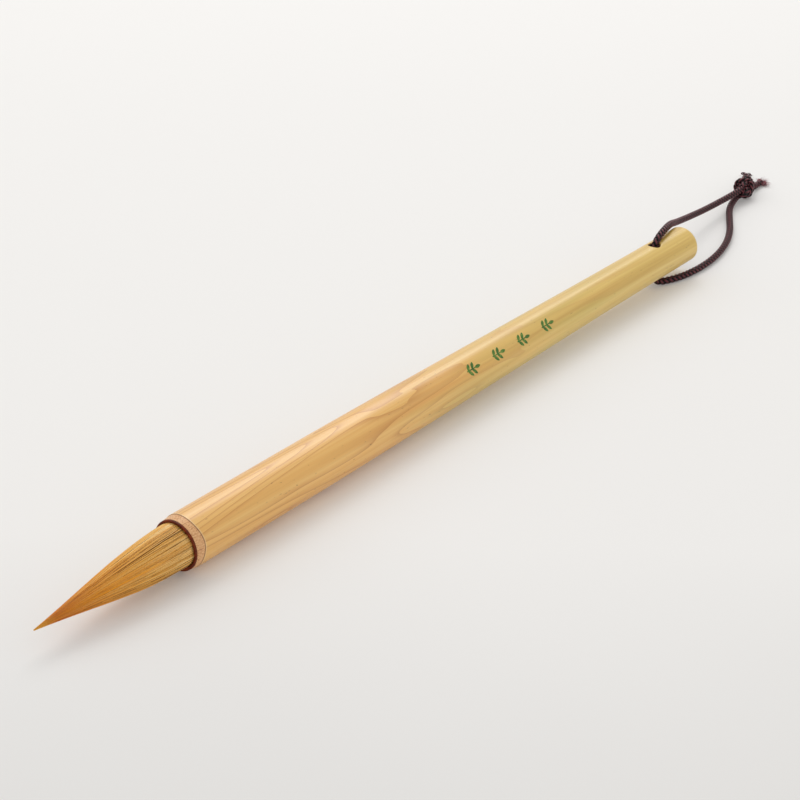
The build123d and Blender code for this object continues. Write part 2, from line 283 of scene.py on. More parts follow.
# ------------------------------------------------------------------ finishes
class Finish:
    """A material and short ways to add the nodes that the finishes below share."""

    def __init__(self, name, **sockets):
        self.material = bpy.data.materials.new(name)
        self.material.use_nodes = True
        self.tree = self.material.node_tree
        self.shader = self.tree.nodes["Principled BSDF"]
        for key, value in sockets.items():
            self.shader.inputs[key.replace("_", " ")].default_value = value

    def add(self, kind, inputs=None, **settings):
        """A node with its settings, and its inputs set to values or joined to other nodes' outputs."""
        node = self.tree.nodes.new("ShaderNode" + kind)
        for key, value in settings.items():
            setattr(node, key, value)
        for key, value in (inputs or {}).items():
            if isinstance(value, bpy.types.NodeSocket):
                self.tree.links.new(value, node.inputs[key])
            else:
                node.inputs[key].default_value = value
        return node

    def join(self, output, socket):
        self.tree.links.new(output, self.shader.inputs[socket])

    def place(self, scale=(1, 1, 1), offset=(0, 0, 0)):
        """Object coordinates, moved and then stretched."""
        coordinate = self.add("TexCoord").outputs["Object"]
        return self.add(
            "Mapping", {"Vector": coordinate, "Scale": scale, "Location": offset}
        ).outputs["Vector"]

    def noise(self, vector, scale, detail=3.0, roughness=0.5, distortion=0.0):
        inputs = {"Vector": vector, "Scale": scale, "Detail": detail}
        inputs |= {"Roughness": roughness, "Distortion": distortion}
        return self.add("TexNoise", inputs).outputs["Fac"]

    def grain(self, scale, along=1.0, detail=3.0, roughness=0.5, distortion=0.0):
        """Noise in object coordinates, drawn out lengthwise where "along" is under 1."""
        return self.noise(self.place((along, 1, 1)), scale, detail, roughness, distortion)

    def value(self, name):
        """A point attribute of the mesh."""
        return self.add("Attribute", attribute_name=name).outputs["Fac"]

    def arithmetic(self, operation, a, b=0.0):
        return self.add("Math", {0: a, 1: b}, operation=operation).outputs[0]

    def plus(self, a, b):
        return self.arithmetic("ADD", a, b)

    def times(self, a, b):
        return self.arithmetic("MULTIPLY", a, b)

    def between(self, value, low, high, to_low=0.0, to_high=1.0):
        """value's stretch from low to high, mapped and held to to_low .. to_high."""
        inputs = {0: value, 1: low, 2: high, 3: to_low, 4: to_high}
        return self.add("MapRange", inputs).outputs[0]

    def ramp(self, value, stops):
        """Colours between stops, each given as (place, colour)."""
        node = self.add("ValToRGB", {"Fac": value})
        elements = node.color_ramp.elements
        while len(elements) < len(stops):
            elements.new(0.5)
        for element, (position, tint) in zip(elements, stops):
            element.position = position
            element.color = tint
        return node.outputs["Color"]

    def tones(self, value, base, *stops):
        """Shades of one colour: each stop is its place and the factors of red, green and blue."""
        return self.ramp(value, [(place, shade(base, *factors)) for place, *factors in stops])

    def mix(self, share, a, b):
        """Colour a where the share is 0, b where it is 1."""
        node = self.add("Mix", data_type="RGBA")
        for index, value in ((0, share), (6, a), (7, b)):
            if isinstance(value, bpy.types.NodeSocket):
                self.tree.links.new(value, node.inputs[index])
            else:
                node.inputs[index].default_value = value
        return node.outputs[2]

    def bump(self, height, distance, strength=1.0):
        node = self.add("Bump", {"Height": height, "Distance": distance, "Strength": strength})
        self.join(node.outputs["Normal"], "Normal")


def bamboo_skin(finish, settings, s_mm, fibres, streaks):
    """The skin's colour: tan at the head and olive yellow at the tail, streaked, then over it the
    flame-shaped growth lines, fine fibres, a green tinge at mid length, flecks, and pale cut edges."""
    tan = finish.tones(
        streaks, settings.bamboo_tan, (0.25, 0.91, 0.82, 0.7), (0.5, 1, 1, 1), (0.78, 1.06, 1.2, 1.5)
    )
    olive = finish.tones(
        streaks, settings.bamboo_olive, (0.25, 0.85, 0.79, 0.64), (0.5, 1, 1, 1), (0.8, 1.08, 1.14, 1.5)
    )
    clouds = finish.grain(120, along=0.12, detail=2)
    drift = finish.plus(finish.between(clouds, 0.3, 0.7, -28, 28), s_mm)
    skin = finish.mix(finish.between(drift, 60, 150), tan, olive)

    flame = finish.grain(125, along=0.075, detail=1.6, roughness=0.45, distortion=0.3)
    line_count, sharpness = 11.0, 2.6
    rings = finish.arithmetic("FRACT", finish.times(flame, line_count))
    line = finish.arithmetic("POWER", finish.between(rings, 0.45, 0.985), sharpness)
    strength = finish.between(s_mm, 60, 130, 0.7, 0.18)
    skin = finish.mix(finish.times(line, strength), skin, shade(settings.bamboo_tan, 0.63, 0.42, 0.27))
    fibre = finish.between(fibres, 0.4, 0.75, 0.0, 0.24)
    skin = finish.mix(fibre, skin, shade(settings.bamboo_tan, 0.66, 0.6, 0.5))

    patches = finish.between(finish.grain(260, along=0.06, detail=2), 0.4, 0.7, 0.0, 0.34)
    mid_length = finish.times(finish.between(s_mm, 60, 105), finish.between(s_mm, 196, 150))
    skin = finish.mix(finish.times(mid_length, patches), skin, shade(settings.bamboo_olive, 0.53, 0.75, 0.6))
    flecks = finish.between(finish.grain(2600, along=0.25, detail=1), 0.72, 0.8, 0, 0.45)
    skin = finish.mix(flecks, skin, colour(128, 84, 40))

    head_edge = finish.between(s_mm, 2.62, 2.34)
    skin = finish.mix(finish.times(head_edge, 0.75), skin, colour(243, 208, 152))
    tail_edge = finish.between(s_mm, 199.5, 199.75)
    return finish.mix(finish.times(tail_edge, 0.7), skin, colour(240, 214, 150))


def bamboo_cut(finish, settings, s_mm):
    """The shaved band's colour: pale, specked end grain, with a dark line where the skin stops, painted
    shadow at the foot of the skin's edge.
    """
    specks = finish.grain(3400, along=0.5, detail=2, roughness=0.6)
    cut = finish.tones(
        specks, settings.cut_wood, (0.3, 0.64, 0.51, 0.45), (0.46, 1, 1, 1), (0.7, 1.12, 1.3, 1.5)
    )
    # painted shadow: a dark line along the foot of the skin's edge
    line = finish.times(finish.between(s_mm, 2.05, 2.2), finish.between(s_mm, 2.6, 2.34))
    return finish.mix(finish.times(line, 0.8), cut, colour(120, 68, 34))


def bamboo_finish(settings):
    """Bamboo: glossy skin, rougher cut wood, and painted shade darkening the cross hole's wall and worn
    mouths.
    """
    finish = Finish("bamboo", Specular_IOR_Level=0.5, Coat_Weight=0.4, Coat_Roughness=0.24)
    s_mm = finish.value("s_mm")
    skin = finish.value("skin")
    hole = finish.between(finish.value("hole"), 0, 1)
    fibres = finish.grain(1900, along=0.02, detail=4, roughness=0.6)
    streaks = finish.grain(520, along=0.012, roughness=0.55, distortion=0.6)
    cut_colour = bamboo_cut(finish, settings, s_mm)
    skin_colour = bamboo_skin(finish, settings, s_mm, fibres, streaks)
    base = finish.mix(skin, cut_colour, skin_colour)
    # painted shade: dark brown inside the cross hole, by the point attribute "hole"
    finish.join(finish.mix(hole, base, colour(52, 32, 18)), "Base Color")
    rough = finish.between(fibres, 0.3, 0.7, 0.34, 0.42)
    cut_rough = finish.between(skin, 0, 1, 0.3, 0.0)
    finish.join(finish.plus(rough, cut_rough), "Roughness")
    finish.bump(finish.plus(fibres, finish.times(streaks, 0.6)), 0.03 * MM, 0.3)
    return finish.material


def lip_finish(settings):
    """Red-brown lacquer, a little uneven, glossy on its rounded edge."""
    finish = Finish("lip_lacquer", Specular_IOR_Level=0.2)
    patches = finish.grain(900)
    tint = finish.tones(
        patches, settings.lip_brown, (0.3, 0.55, 0.45, 0.3), (0.55, 1, 1, 1), (0.75, 1.7, 2.2, 2.2)
    )
    finish.join(tint, "Base Color")
    finish.join(finish.between(patches, 0.3, 0.7, 0.42, 0.6), "Roughness")
    finish.bump(finish.grain(2600), 0.03 * MM, 0.4)
    return finish.material


def hair_finish(settings):
    """Weasel hair: straw gold at the mouth, deepening to orange near the point.

    "reach" runs from 0 at the mouth to 1 at the point, "tone" from dark to light, and "warm"
    adds orange bands.  Tone is partly the hair's own, which differs at random, and partly painted:
    painted shade in the tuft's grooves, near the mouth and on hairs that lie deeper, and painted
    light on the crests of its ridges.
    """
    finish = Finish("hair", Specular_IOR_Level=0.35)
    mouth, point = settings.hair_gold, settings.hair_orange
    reach = finish.value("reach")
    tone = finish.value("tone")
    gold = finish.ramp(
        reach,
        [
            (0.0, shade(mouth, 1, 1, 1)),
            (0.3, shade(mouth, 0.93, 0.85, 0.58)),
            (0.6, shade(point, 1.22, 1.75, 2.4)),
            (0.86, shade(point, 0.97, 0.93, 0.5)),
            (0.985, shade(point, 1.46, 3.1, 12)),
        ],
    )
    dark = finish.ramp(
        reach,
        [
            (0.0, shade(mouth, 0.12, 0.065, 0.02)),
            (0.2, shade(mouth, 0.23, 0.13, 0.04)),
            (0.55, shade(point, 0.42, 0.42, 0.6)),
            (0.9, shade(point, 0.47, 0.32, 0.3)),
        ],
    )
    light = finish.ramp(
        reach,
        [
            (0.0, shade(mouth, 1.05, 1.3, 2.2)),
            (0.5, shade(mouth, 1.0, 1.07, 1.28)),
            (0.9, shade(point, 1.25, 1.65, 2.4)),
        ],
    )
    # the dark and light ends of tone carry the painted shade and light set on the hair's points, as well as
    # the hairs' own tones
    hair = finish.mix(finish.between(tone, 0.0, 0.45), dark, gold)
    hair = finish.mix(finish.between(tone, 0.58, 0.95), hair, light)
    warm = finish.times(finish.value("warm"), 0.8)
    finish.join(finish.mix(warm, hair, shade(point, 1.35, 1.9, 0.6)), "Base Color")
    finish.join(finish.between(tone, 0, 1, 0.5, 0.34), "Roughness")
    return finish.material


def cord_finish(settings):
    """Plum yarn: many fine filaments along each yarn, with painted highlight on the yarns' tops and painted
    shade where they go under.

    "depth" is a point's height in the weave, from 0 at the core to 1 on the outside, made less on the sides
    of a yarn that face away from the cord; the finish turns it into the painted highlight and shade.
    """
    finish = Finish("cord_yarn", Specular_IOR_Level=0.32, Sheen_Weight=0.03, Sheen_Roughness=0.35)
    plum = settings.cord_plum
    finish.shader.inputs["Sheen Tint"].default_value = colour(190, 130, 135)
    weave = finish.add("UVMap", uv_map="weave").outputs["UV"]
    stretched = finish.add("Mapping", {"Vector": weave, "Scale": (9, 14, 1)}).outputs["Vector"]
    filaments = finish.noise(stretched, 2.2, detail=2, roughness=0.6)
    tint = finish.tones(filaments, plum, (0.3, 0.4, 0.35, 0.4), (0.52, 1, 1, 1), (0.75, 3.0, 5.2, 3.7))
    depth = finish.value("depth")
    # painted highlight: the outermost points of each yarn are mixed towards a pale pink
    painted_highlight = finish.between(depth, 0.86, 1.0, 0.0, 0.5)
    tint = finish.mix(painted_highlight, tint, shade(plum, 4.8, 10.5, 7))
    # painted shade: points low in the weave and the core are mixed towards near black
    painted_shade = finish.between(depth, 0.5, 0.93, 1.0, 0.0)
    finish.join(finish.mix(painted_shade, tint, shade(plum, 0.03, 0.05, 0.06)), "Base Color")
    finish.join(finish.between(filaments, 0.3, 0.7, 0.26, 0.42), "Roughness")
    finish.bump(filaments, 0.04 * MM, 0.6)
    return finish.material


def plain_finish(name, dark, light, scale, rough, along=1.0):
    """Two tones of one material, mottled or streaked, for pieces that are mostly out of sight."""
    finish = Finish(name)
    pattern = finish.grain(scale, along)
    finish.join(finish.ramp(pattern, [(0.3, colour(*dark)), (0.7, colour(*light))]), "Base Color")
    finish.join(finish.between(pattern, 0.3, 0.7, rough - 0.06, rough + 0.06), "Roughness")
    finish.bump(pattern, 0.03 * MM, 0.5)
    return finish.material


def fibre_finish(settings):
    """Loose, washed-out plum fibres."""
    finish = Finish("loose_fibres", Specular_IOR_Level=0.4, Sheen_Weight=0.3, Sheen_Roughness=0.5)
    pattern = finish.grain(1500, detail=2)
    tint = finish.tones(
        pattern, settings.cord_plum, (0.3, 1.3, 1.8, 1.6), (0.55, 3.5, 7.5, 5.4), (0.75, 5.8, 18, 11.5)
    )
    finish.join(tint, "Base Color")
    finish.join(finish.between(pattern, 0.3, 0.7, 0.5, 0.7), "Roughness")
    return finish.material


def tail_finish(settings):
    """Brown lacquer worn in rings: dark at the edge, orange brown within, grey brown in the middle."""
    finish = Finish("tail_lacquer", Coat_Weight=0.2, Coat_Roughness=0.25, Specular_IOR_Level=0.5)
    centre = MOUTH + SHAFT_LENGTH * ALONG
    flat = finish.place((0, 1, 1), (0, 0, -centre[2]))
    swirl = finish.noise(flat, 330, detail=2)
    distance = finish.add("VectorMath", {0: flat}, operation="LENGTH").outputs["Value"]
    share = finish.arithmetic("DIVIDE", distance, TAIL_RADIUS)
    share = finish.plus(share, finish.between(swirl, 0.3, 0.7, -0.11, 0.11))
    rings = finish.tones(
        share,
        settings.tail_brown,
        (0.0, 0.58, 1.1, 3.0),
        (0.16, 0.91, 1.54, 3.5),
        (0.34, 1.13, 1.54, 2.2),
        (0.52, 1, 1, 1),
        (0.76, 0.58, 0.59, 0.77),
        (0.93, 0.23, 0.24, 0.4),
    )
    fine = finish.noise(flat, 2200, roughness=0.6)
    grime = finish.between(fine, 0.4, 0.75, 0, 0.35)
    finish.join(finish.mix(grime, rings, shade(settings.tail_brown, 0.2, 0.24, 0.4)), "Base Color")
    finish.join(finish.between(fine, 0.3, 0.7, 0.34, 0.5), "Roughness")
    finish.bump(fine, 0.03 * MM, 0.5)
    return finish.material


def paint_finish(settings):
    """Green paint, thin in places, over the bamboo's skin."""
    finish = Finish("green_paint", Specular_IOR_Level=0.5)
    wear = finish.grain(1500, along=0.4, roughness=0.6)
    tint = finish.tones(
        wear,
        settings.leaf_green,
        (0.3, 0.34, 0.5, 0.56),
        (0.52, 1, 1, 1),
        (0.68, 2.6, 1.5, 2.9),
        (0.8, 5.7, 1.9, 6.7),
    )
    finish.join(tint, "Base Color")
    finish.join(finish.between(wear, 0.3, 0.7, 0.35, 0.5), "Roughness")
    finish.bump(wear, 0.02 * MM, 0.4)
    return finish.material


# ------------------------------------------------------------------ bamboo tube
def skin_radius(s):
    """Radius over the skin: level to the taper's start, then eased down to the tail."""
    share = ease((s - TAPER_START) / (SHAFT_LENGTH - TAPER_START))
    return MOUTH_RADIUS - (MOUTH_RADIUS - TAIL_RADIUS) * share


COLUMNS = 192
CELL = TURN / COLUMNS
HALF = 18  # cells from the cross hole's axis to the side of the square patch round it
PATCH_REACH = HALF * CELL * skin_radius(HOLE_S)
MOUTH_STEPS, WALL_STEPS = 10, 6
CROSS_HOLE_RADIUS = 1.3 * MM


def tube_outline():
    """The outline that is turned into the tube: from the bore's end on the axis, out round the socket
    and the mouth, along the skin, and back in at the tail.  The bore stops short of the cross hole,
    out of sight.  Gives each row's s and r, and the rows at which the band, the skin, the square
    patches and the tail's face begin."""
    bore_end = SHAFT_LENGTH - 19 * MM
    inside = [
        (bore_end, 0.3 * BORE_RADIUS),
        (bore_end, BORE_RADIUS),
        (SOCKET_DEPTH + 40 * MM, BORE_RADIUS),
        (SOCKET_DEPTH, BORE_RADIUS),
        (SOCKET_DEPTH, SOCKET_RADIUS),
        (SOCKET_DEPTH / 2, SOCKET_RADIUS),
        (0.06 * MM, SOCKET_RADIUS),
        (0.0, SOCKET_RADIUS + 0.05 * MM),
    ]
    edge = BAND_LENGTH
    band_s = np.linspace(0.0, edge - 0.05 * MM, 14)
    rise = band_s / edge
    band_r = LIP_RADIUS + (MOUTH_RADIUS - 0.12 * MM - LIP_RADIUS) * (1.35 * rise - 0.35 * rise * rise)
    level = np.concatenate(
        [
            np.linspace(edge + 0.02 * MM, edge + 0.3 * MM, 5),
            np.linspace(edge + 0.8 * MM, TAPER_START, 30),
            np.linspace(TAPER_START, HOLE_S - PATCH_REACH, 130)[1:-1],
        ]
    )
    patch = np.linspace(HOLE_S - PATCH_REACH, HOLE_S + PATCH_REACH, 2 * HALF + 1)
    tail_s = np.linspace(HOLE_S + PATCH_REACH, SHAFT_LENGTH - 0.3 * MM, 12)[1:]
    skin_s = np.concatenate([level, patch, tail_s, [SHAFT_LENGTH - 0.12 * MM]])
    tail_face = [
        (SHAFT_LENGTH, TAIL_RADIUS - 0.1 * MM),
        (SHAFT_LENGTH, (TAIL_RADIUS + BORE_RADIUS) / 2),
        (SHAFT_LENGTH, BORE_RADIUS),
        (PLUG_START, BORE_RADIUS),
        (PLUG_START, 0.3 * BORE_RADIUS),
    ]
    inside, tail_face = np.array(inside).T, np.array(tail_face).T
    s = np.concatenate([inside[0], band_s, skin_s, tail_face[0]])
    r = np.concatenate([inside[1], band_r, skin_radius(skin_s), tail_face[1]])
    first_skin = inside.shape[1] + len(band_s)
    return s, r, (inside.shape[1], first_skin, first_skin + len(level), first_skin + len(skin_s))


def tube_points(s, r, on_skin, first_band, angle):
    """The outline turned round the axis: (s, r cos a, r sin a).  The skin was cut back by hand, so its
    edge wanders, and clear of the mouth and the cross hole the tube is a little out of round."""
    from_edge = (s - BAND_LENGTH) / (1.2 * MM)
    wander = 0.24 * MM * waves(angle, 3, 6)[None, :] * np.exp(-(from_edge**2))[:, None]
    wander[: first_band + 2] = 0
    ripple = waves(angle, 5, 4, 2)[None, :] + 0.5 * np.sin(s / (17 * MM))[:, None]
    clear = ease((s - 12 * MM) / (20 * MM)) * ease((HOLE_S - 12 * MM - s) / (20 * MM)) * on_skin
    radius = r[:, None] + 0.018 * MM * ripple * clear[:, None]
    return brush_point(s[:, None] + wander, radius * np.cos(angle), radius * np.sin(angle))


def patch_border():
    """The cells round a square patch, in order, as rows and columns counted from its corner."""
    side = np.arange(2 * HALF)
    near, far = np.zeros(2 * HALF, int), np.full(2 * HALF, 2 * HALF)
    back = 2 * HALF - side
    return np.concatenate([near, side, far, back]), np.concatenate([side, far, back, near])


def hole_mouth(facing):
    """The patch's rings: its square border blended, step by step, into the hole's round mouth, which
    is worn down by up to 0.7 mm towards the edge.  Gives the points, how far each is worn, and the
    bearing of each point round the mouth."""
    row, column = patch_border()
    a = (row - HALF) / HALF
    b = (column - HALF) / HALF
    bearing = np.arctan2(b, a)
    share = (np.arange(1, MOUTH_STEPS + 1) / MOUTH_STEPS)[:, None]
    radius = skin_radius(HOLE_S)
    round_s = CROSS_HOLE_RADIUS * np.cos(bearing)
    round_turn = np.arcsin(CROSS_HOLE_RADIUS * np.sin(bearing) / radius)
    s = a * PATCH_REACH * (1 - share) + round_s * share
    turn = b * HALF * CELL * (1 - share) + round_turn * share
    reach = np.hypot(s, radius * np.sin(turn))
    worn = 0.7 * MM * ease((1.95 * MM - reach) / (0.72 * MM)) ** 1.4
    level = skin_radius(HOLE_S + s)
    height = facing * (level * np.cos(turn) - worn)
    return brush_point(HOLE_S + s, height, facing * level * np.sin(turn)), worn, bearing


class Shell:
    """Points added in turn, each with what the bamboo's finish reads there, and the faces on them."""

    def __init__(self):
        self.points, self.values, self.faces = [], [], []
        self.count = 0

    def add(self, points, s, skin, hole):
        """Points with their s, share of skin and share of hole, which the finish darkens as painted shade;
        gives their corner numbers.
        """
        shape = points.shape[:-1]
        self.points.append(points.reshape(-1, 3))
        self.values.append(np.stack([np.broadcast_to(field, shape).ravel() for field in (s, skin, hole)]))
        numbers = self.count + np.arange(math.prod(shape)).reshape(shape)
        self.count += numbers.size
        return numbers

    def walls(self, numbers):
        """The faces between rings of corner numbers."""
        self.faces.append(numbers.reshape(-1)[quads_of(*numbers.shape)])


def bamboo_surface():
    """The tube as one closed surface: the turned outline, less a square of cells over the cross hole at
    top and bottom, a patch from each square to the hole's round mouth, and a straight wall between."""
    s, r, (first_band, first_skin, first_patch, first_tail) = tube_outline()
    rows = len(s)
    angle = np.arange(COLUMNS) * CELL
    on_skin = np.zeros(rows)
    on_skin[first_skin:first_tail] = 1.0
    shell = Shell()
    number = shell.add(tube_points(s, r, on_skin, first_band, angle), s[:, None], on_skin[:, None], 0)
    faces = quads_of(rows, COLUMNS)
    row, column = faces[:, 0] // COLUMNS, faces[:, 0] % COLUMNS
    along = (row >= first_patch) & (row < first_patch + 2 * HALF)
    across = [(column - middle + HALF) % COLUMNS < 2 * HALF for middle in (0, COLUMNS // 2)]
    shell.faces.append(faces[~(along & (across[0] | across[1]))])

    mouths = []
    border_row, border_column = patch_border()
    for facing, middle in ((1, 0), (-1, COLUMNS // 2)):
        border = number[first_patch + border_row, (middle - HALF + border_column) % COLUMNS]
        points, worn, bearing = hole_mouth(facing)
        # the deeper a mouth is worn, the more of the hole's painted shade it takes
        rings = shell.add(points, HOLE_S, 1 - ease(worn / (0.4 * MM)), ease(worn / (0.5 * MM)))
        shell.walls(np.vstack([border, rings]))
        mouths.append((points[-1], rings[-1], bearing))

    # the hole's wall: straight lines from each point of the top mouth to the one below it
    (top, top_ring, top_bearing), (bottom, bottom_ring, bottom_bearing) = mouths
    apart = np.abs(np.angle(np.exp(1j * (bottom_bearing[None] + top_bearing[:, None]))))
    below = np.argmin(apart, axis=1)
    share = np.linspace(0, 1, WALL_STEPS + 1)[1:-1, None, None]
    # the hole's wall takes the full painted shade
    wall = shell.add(top * (1 - share) + bottom[below] * share, HOLE_S, 0, 1)
    shell.walls(np.vstack([top_ring, wall, bottom_ring[below]]))

    ends = shell.add(brush_point(s[[0, -1]], 0, 0), s[[0, -1]], 0, 0)
    shell.faces.append(pole(number[0], ends[0], flip=True))
    shell.faces.append(pole(number[-1], ends[1]))
    at, skin, hole = np.concatenate(shell.values, axis=1)
    return np.concatenate(shell.points), shell.faces, {"s_mm": at / MM, "skin": skin, "hole": hole}


# ------------------------------------------------------------------ many thin tubes at once
def unit(v):
    """Vectors scaled to length one."""
    return v / np.maximum(np.linalg.norm(v, axis=-1, keepdims=True), 1e-12)


def thin_tubes(lines, outward, thick, wide, sides):
    """Closed tubes round many lines of equally many points: line + thick cos a N + wide sin a B.

    N is "outward" squared up to the line, and B is across it.  Gives the points, the faces with
    both ends closed, and for each face corner (round the tube, millimetres along it).
    """
    lines = np.asarray(lines, float)
    count, reach, _ = lines.shape
    ahead = unit(np.gradient(lines, axis=1))
    normal = unit(outward - (outward * ahead).sum(-1, keepdims=True) * ahead)
    across = np.cross(ahead, normal)
    angle = np.arange(sides) * TURN / sides
    thick = np.broadcast_to(thick, (count, reach))[..., None, None]
    wide = np.broadcast_to(wide, (count, reach))[..., None, None]
    up = thick * np.cos(angle)[:, None] * normal[:, :, None]
    aside = wide * np.sin(angle)[:, None] * across[:, :, None]
    points = (lines[:, :, None] + (up + aside)).reshape(-1, 3)
    starts = np.arange(count)[:, None, None] * reach * sides
    walls = (starts + quads_of(reach, sides)[None]).reshape(-1, 4)
    rim = np.arange(sides)
    caps = np.concatenate(
        [starts[:, :, 0] + rim[::-1][None], starts[:, :, 0] + (reach - 1) * sides + rim[None]]
    )
    travel = np.concatenate(
        [np.zeros((count, 1)), np.linalg.norm(np.diff(lines, axis=1), axis=2).cumsum(1)], 1
    )
    i, j = np.meshgrid(np.arange(reach - 1), np.arange(sides), indexing="ij")
    around = np.stack([j, j + 1, j + 1, j], -1).reshape(-1) / sides
    at = np.stack([i, i, i + 1, i + 1], -1).reshape(-1)
    uv = np.stack([np.broadcast_to(around, (count, len(around))), travel[:, at] / MM], -1)
    on_caps = np.zeros((2 * count * sides, 2))
    return points, [walls, caps], np.concatenate([uv.reshape(-1, 2), on_caps])


def gather(parts):
    """Several results of thin_tubes as one: points, faces and corner coordinates."""
    points, faces, uvs, base = [], [], [], 0
    for fresh, lists, uv in parts:
        points.append(fresh)
        faces += [part + base for part in lists]
        uvs.append(uv)
        base += len(fresh)
    return np.concatenate(points), faces, np.concatenate(uvs)


# ------------------------------------------------------------------ cord
def smooth_line(route):
    """Points along the NURBS spline that has the route's points as its control points."""
    curve = bpy.data.curves.new("route", "CURVE")
    curve.dimensions = "3D"
    spline = curve.splines.new("NURBS")
    spline.points.add(len(route) - 1)
    controls = np.ones((len(route), 4))
    controls[:, :3] = np.array(route, float) + (HOLE[0], 0, 0)
    spline.points.foreach_set("co", controls.ravel())
    spline.order_u = 3
    spline.use_endpoint_u = True
    spline.resolution_u = 40
    holder = bpy.data.objects.new("route", curve)
    bpy.context.scene.collection.objects.link(holder)
    mesh = bpy.data.meshes.new_from_object(holder)
    points = np.empty(len(mesh.vertices) * 3)
    mesh.vertices.foreach_get("co", points)
    bpy.data.objects.remove(holder)
    bpy.data.curves.remove(curve)
    bpy.data.meshes.remove(mesh)
    return points.reshape(-1, 3)


def even_line(points, step):
    """The same line with points an equal step apart, and the distance along it at each."""
    travel = np.concatenate([[0], np.linalg.norm(np.diff(points, axis=0), axis=1).cumsum()])
    places = np.linspace(0, travel[-1], max(4, round(travel[-1] / step) + 1))
    return np.stack([np.interp(places, travel, points[:, k]) for k in range(3)], -1), places


def soften(points, times):
    """Draw every inner point to the middle of its neighbours, a few times."""
    points = points.copy()
    for _ in range(times):
        points[1:-1] += 0.5 * ((points[:-2] + points[2:]) / 2 - points[1:-1])
    return points


def carried_normals(line, first):
    """A normal at each point of a line, carried from the one before it without twist."""
    ahead = unit(np.gradient(line, axis=0))
    normals = [unit(first - (first @ ahead[0]) * ahead[0])]
    for direction in ahead[1:]:
        normals.append(unit(normals[-1] - (normals[-1] @ direction) * direction))
    return ahead, np.array(normals)


def braid(line, first, diameter, stitch, turned=0.0):
    """A round braid of eight yarns along a line.

    Four yarns wind each way: angle = quarter turns + or - phase, where the phase makes a quarter
    turn in one stitch.  Distance from the middle = mean + sway tanh(1.8 c), c = + or - cos(2 phase
    - or + an eighth turn), its sign changing from yarn to yarn, so that each yarn goes over two and
    under two and the stitches lie in V-shaped rows along the cord.  A core fills the middle; it is
    made dark as painted shade between the yarns.
    Gives the points, faces, corner coordinates and each point's height in the weave, made less on
    the sides of each yarn that face away from the cord, for the finish's painted highlight and
    shade; and then the last normal and phase, for the braid to go on from.
    """
    steps_in_stitch, sides = 10, 8
    points, travel = even_line(line, stitch / steps_in_stitch)
    ahead, normal = carried_normals(points, first)
    across = np.cross(ahead, normal)
    phase = turned + TURN / 4 * travel / stitch
    radius = diameter / 2
    thick = 0.25 * radius
    sway = 0.21 * radius
    mean = radius - thick - sway
    way = np.array([1.0, -1.0])[:, None, None]
    angle = TURN / 4 * np.arange(4)[None, :, None] + way * phase
    swap = np.array([1, -1, 1, -1])[None, :, None]
    lift = np.tanh(1.8 * swap * way * np.cos(2 * phase - way * TURN / 8))
    outward = np.cos(angle)[..., None] * normal + np.sin(angle)[..., None] * across
    lines = (points + (mean + sway * lift)[..., None] * outward).reshape(8, -1, 3)
    yarns = thin_tubes(lines, outward.reshape(8, -1, 3), thick, 0.34 * radius, sides)
    core = thin_tubes(points[None, ::2], normal[None, ::2], 0.46 * radius, 0.46 * radius, sides)
    # painted shade and highlight: height in the weave, less on each yarn's sides that face away from the
    # cord; the core gets 0, the darkest painted shade
    facing = 0.5 + 0.5 * np.cos(np.arange(sides) * TURN / sides)
    height = ((0.5 + 0.5 * lift.reshape(8, -1, 1)) * facing).reshape(-1)
    height = np.concatenate([height, np.zeros(len(core[0]))])
    return (*gather([yarns, core]), height), (normal[-1], phase[-1])


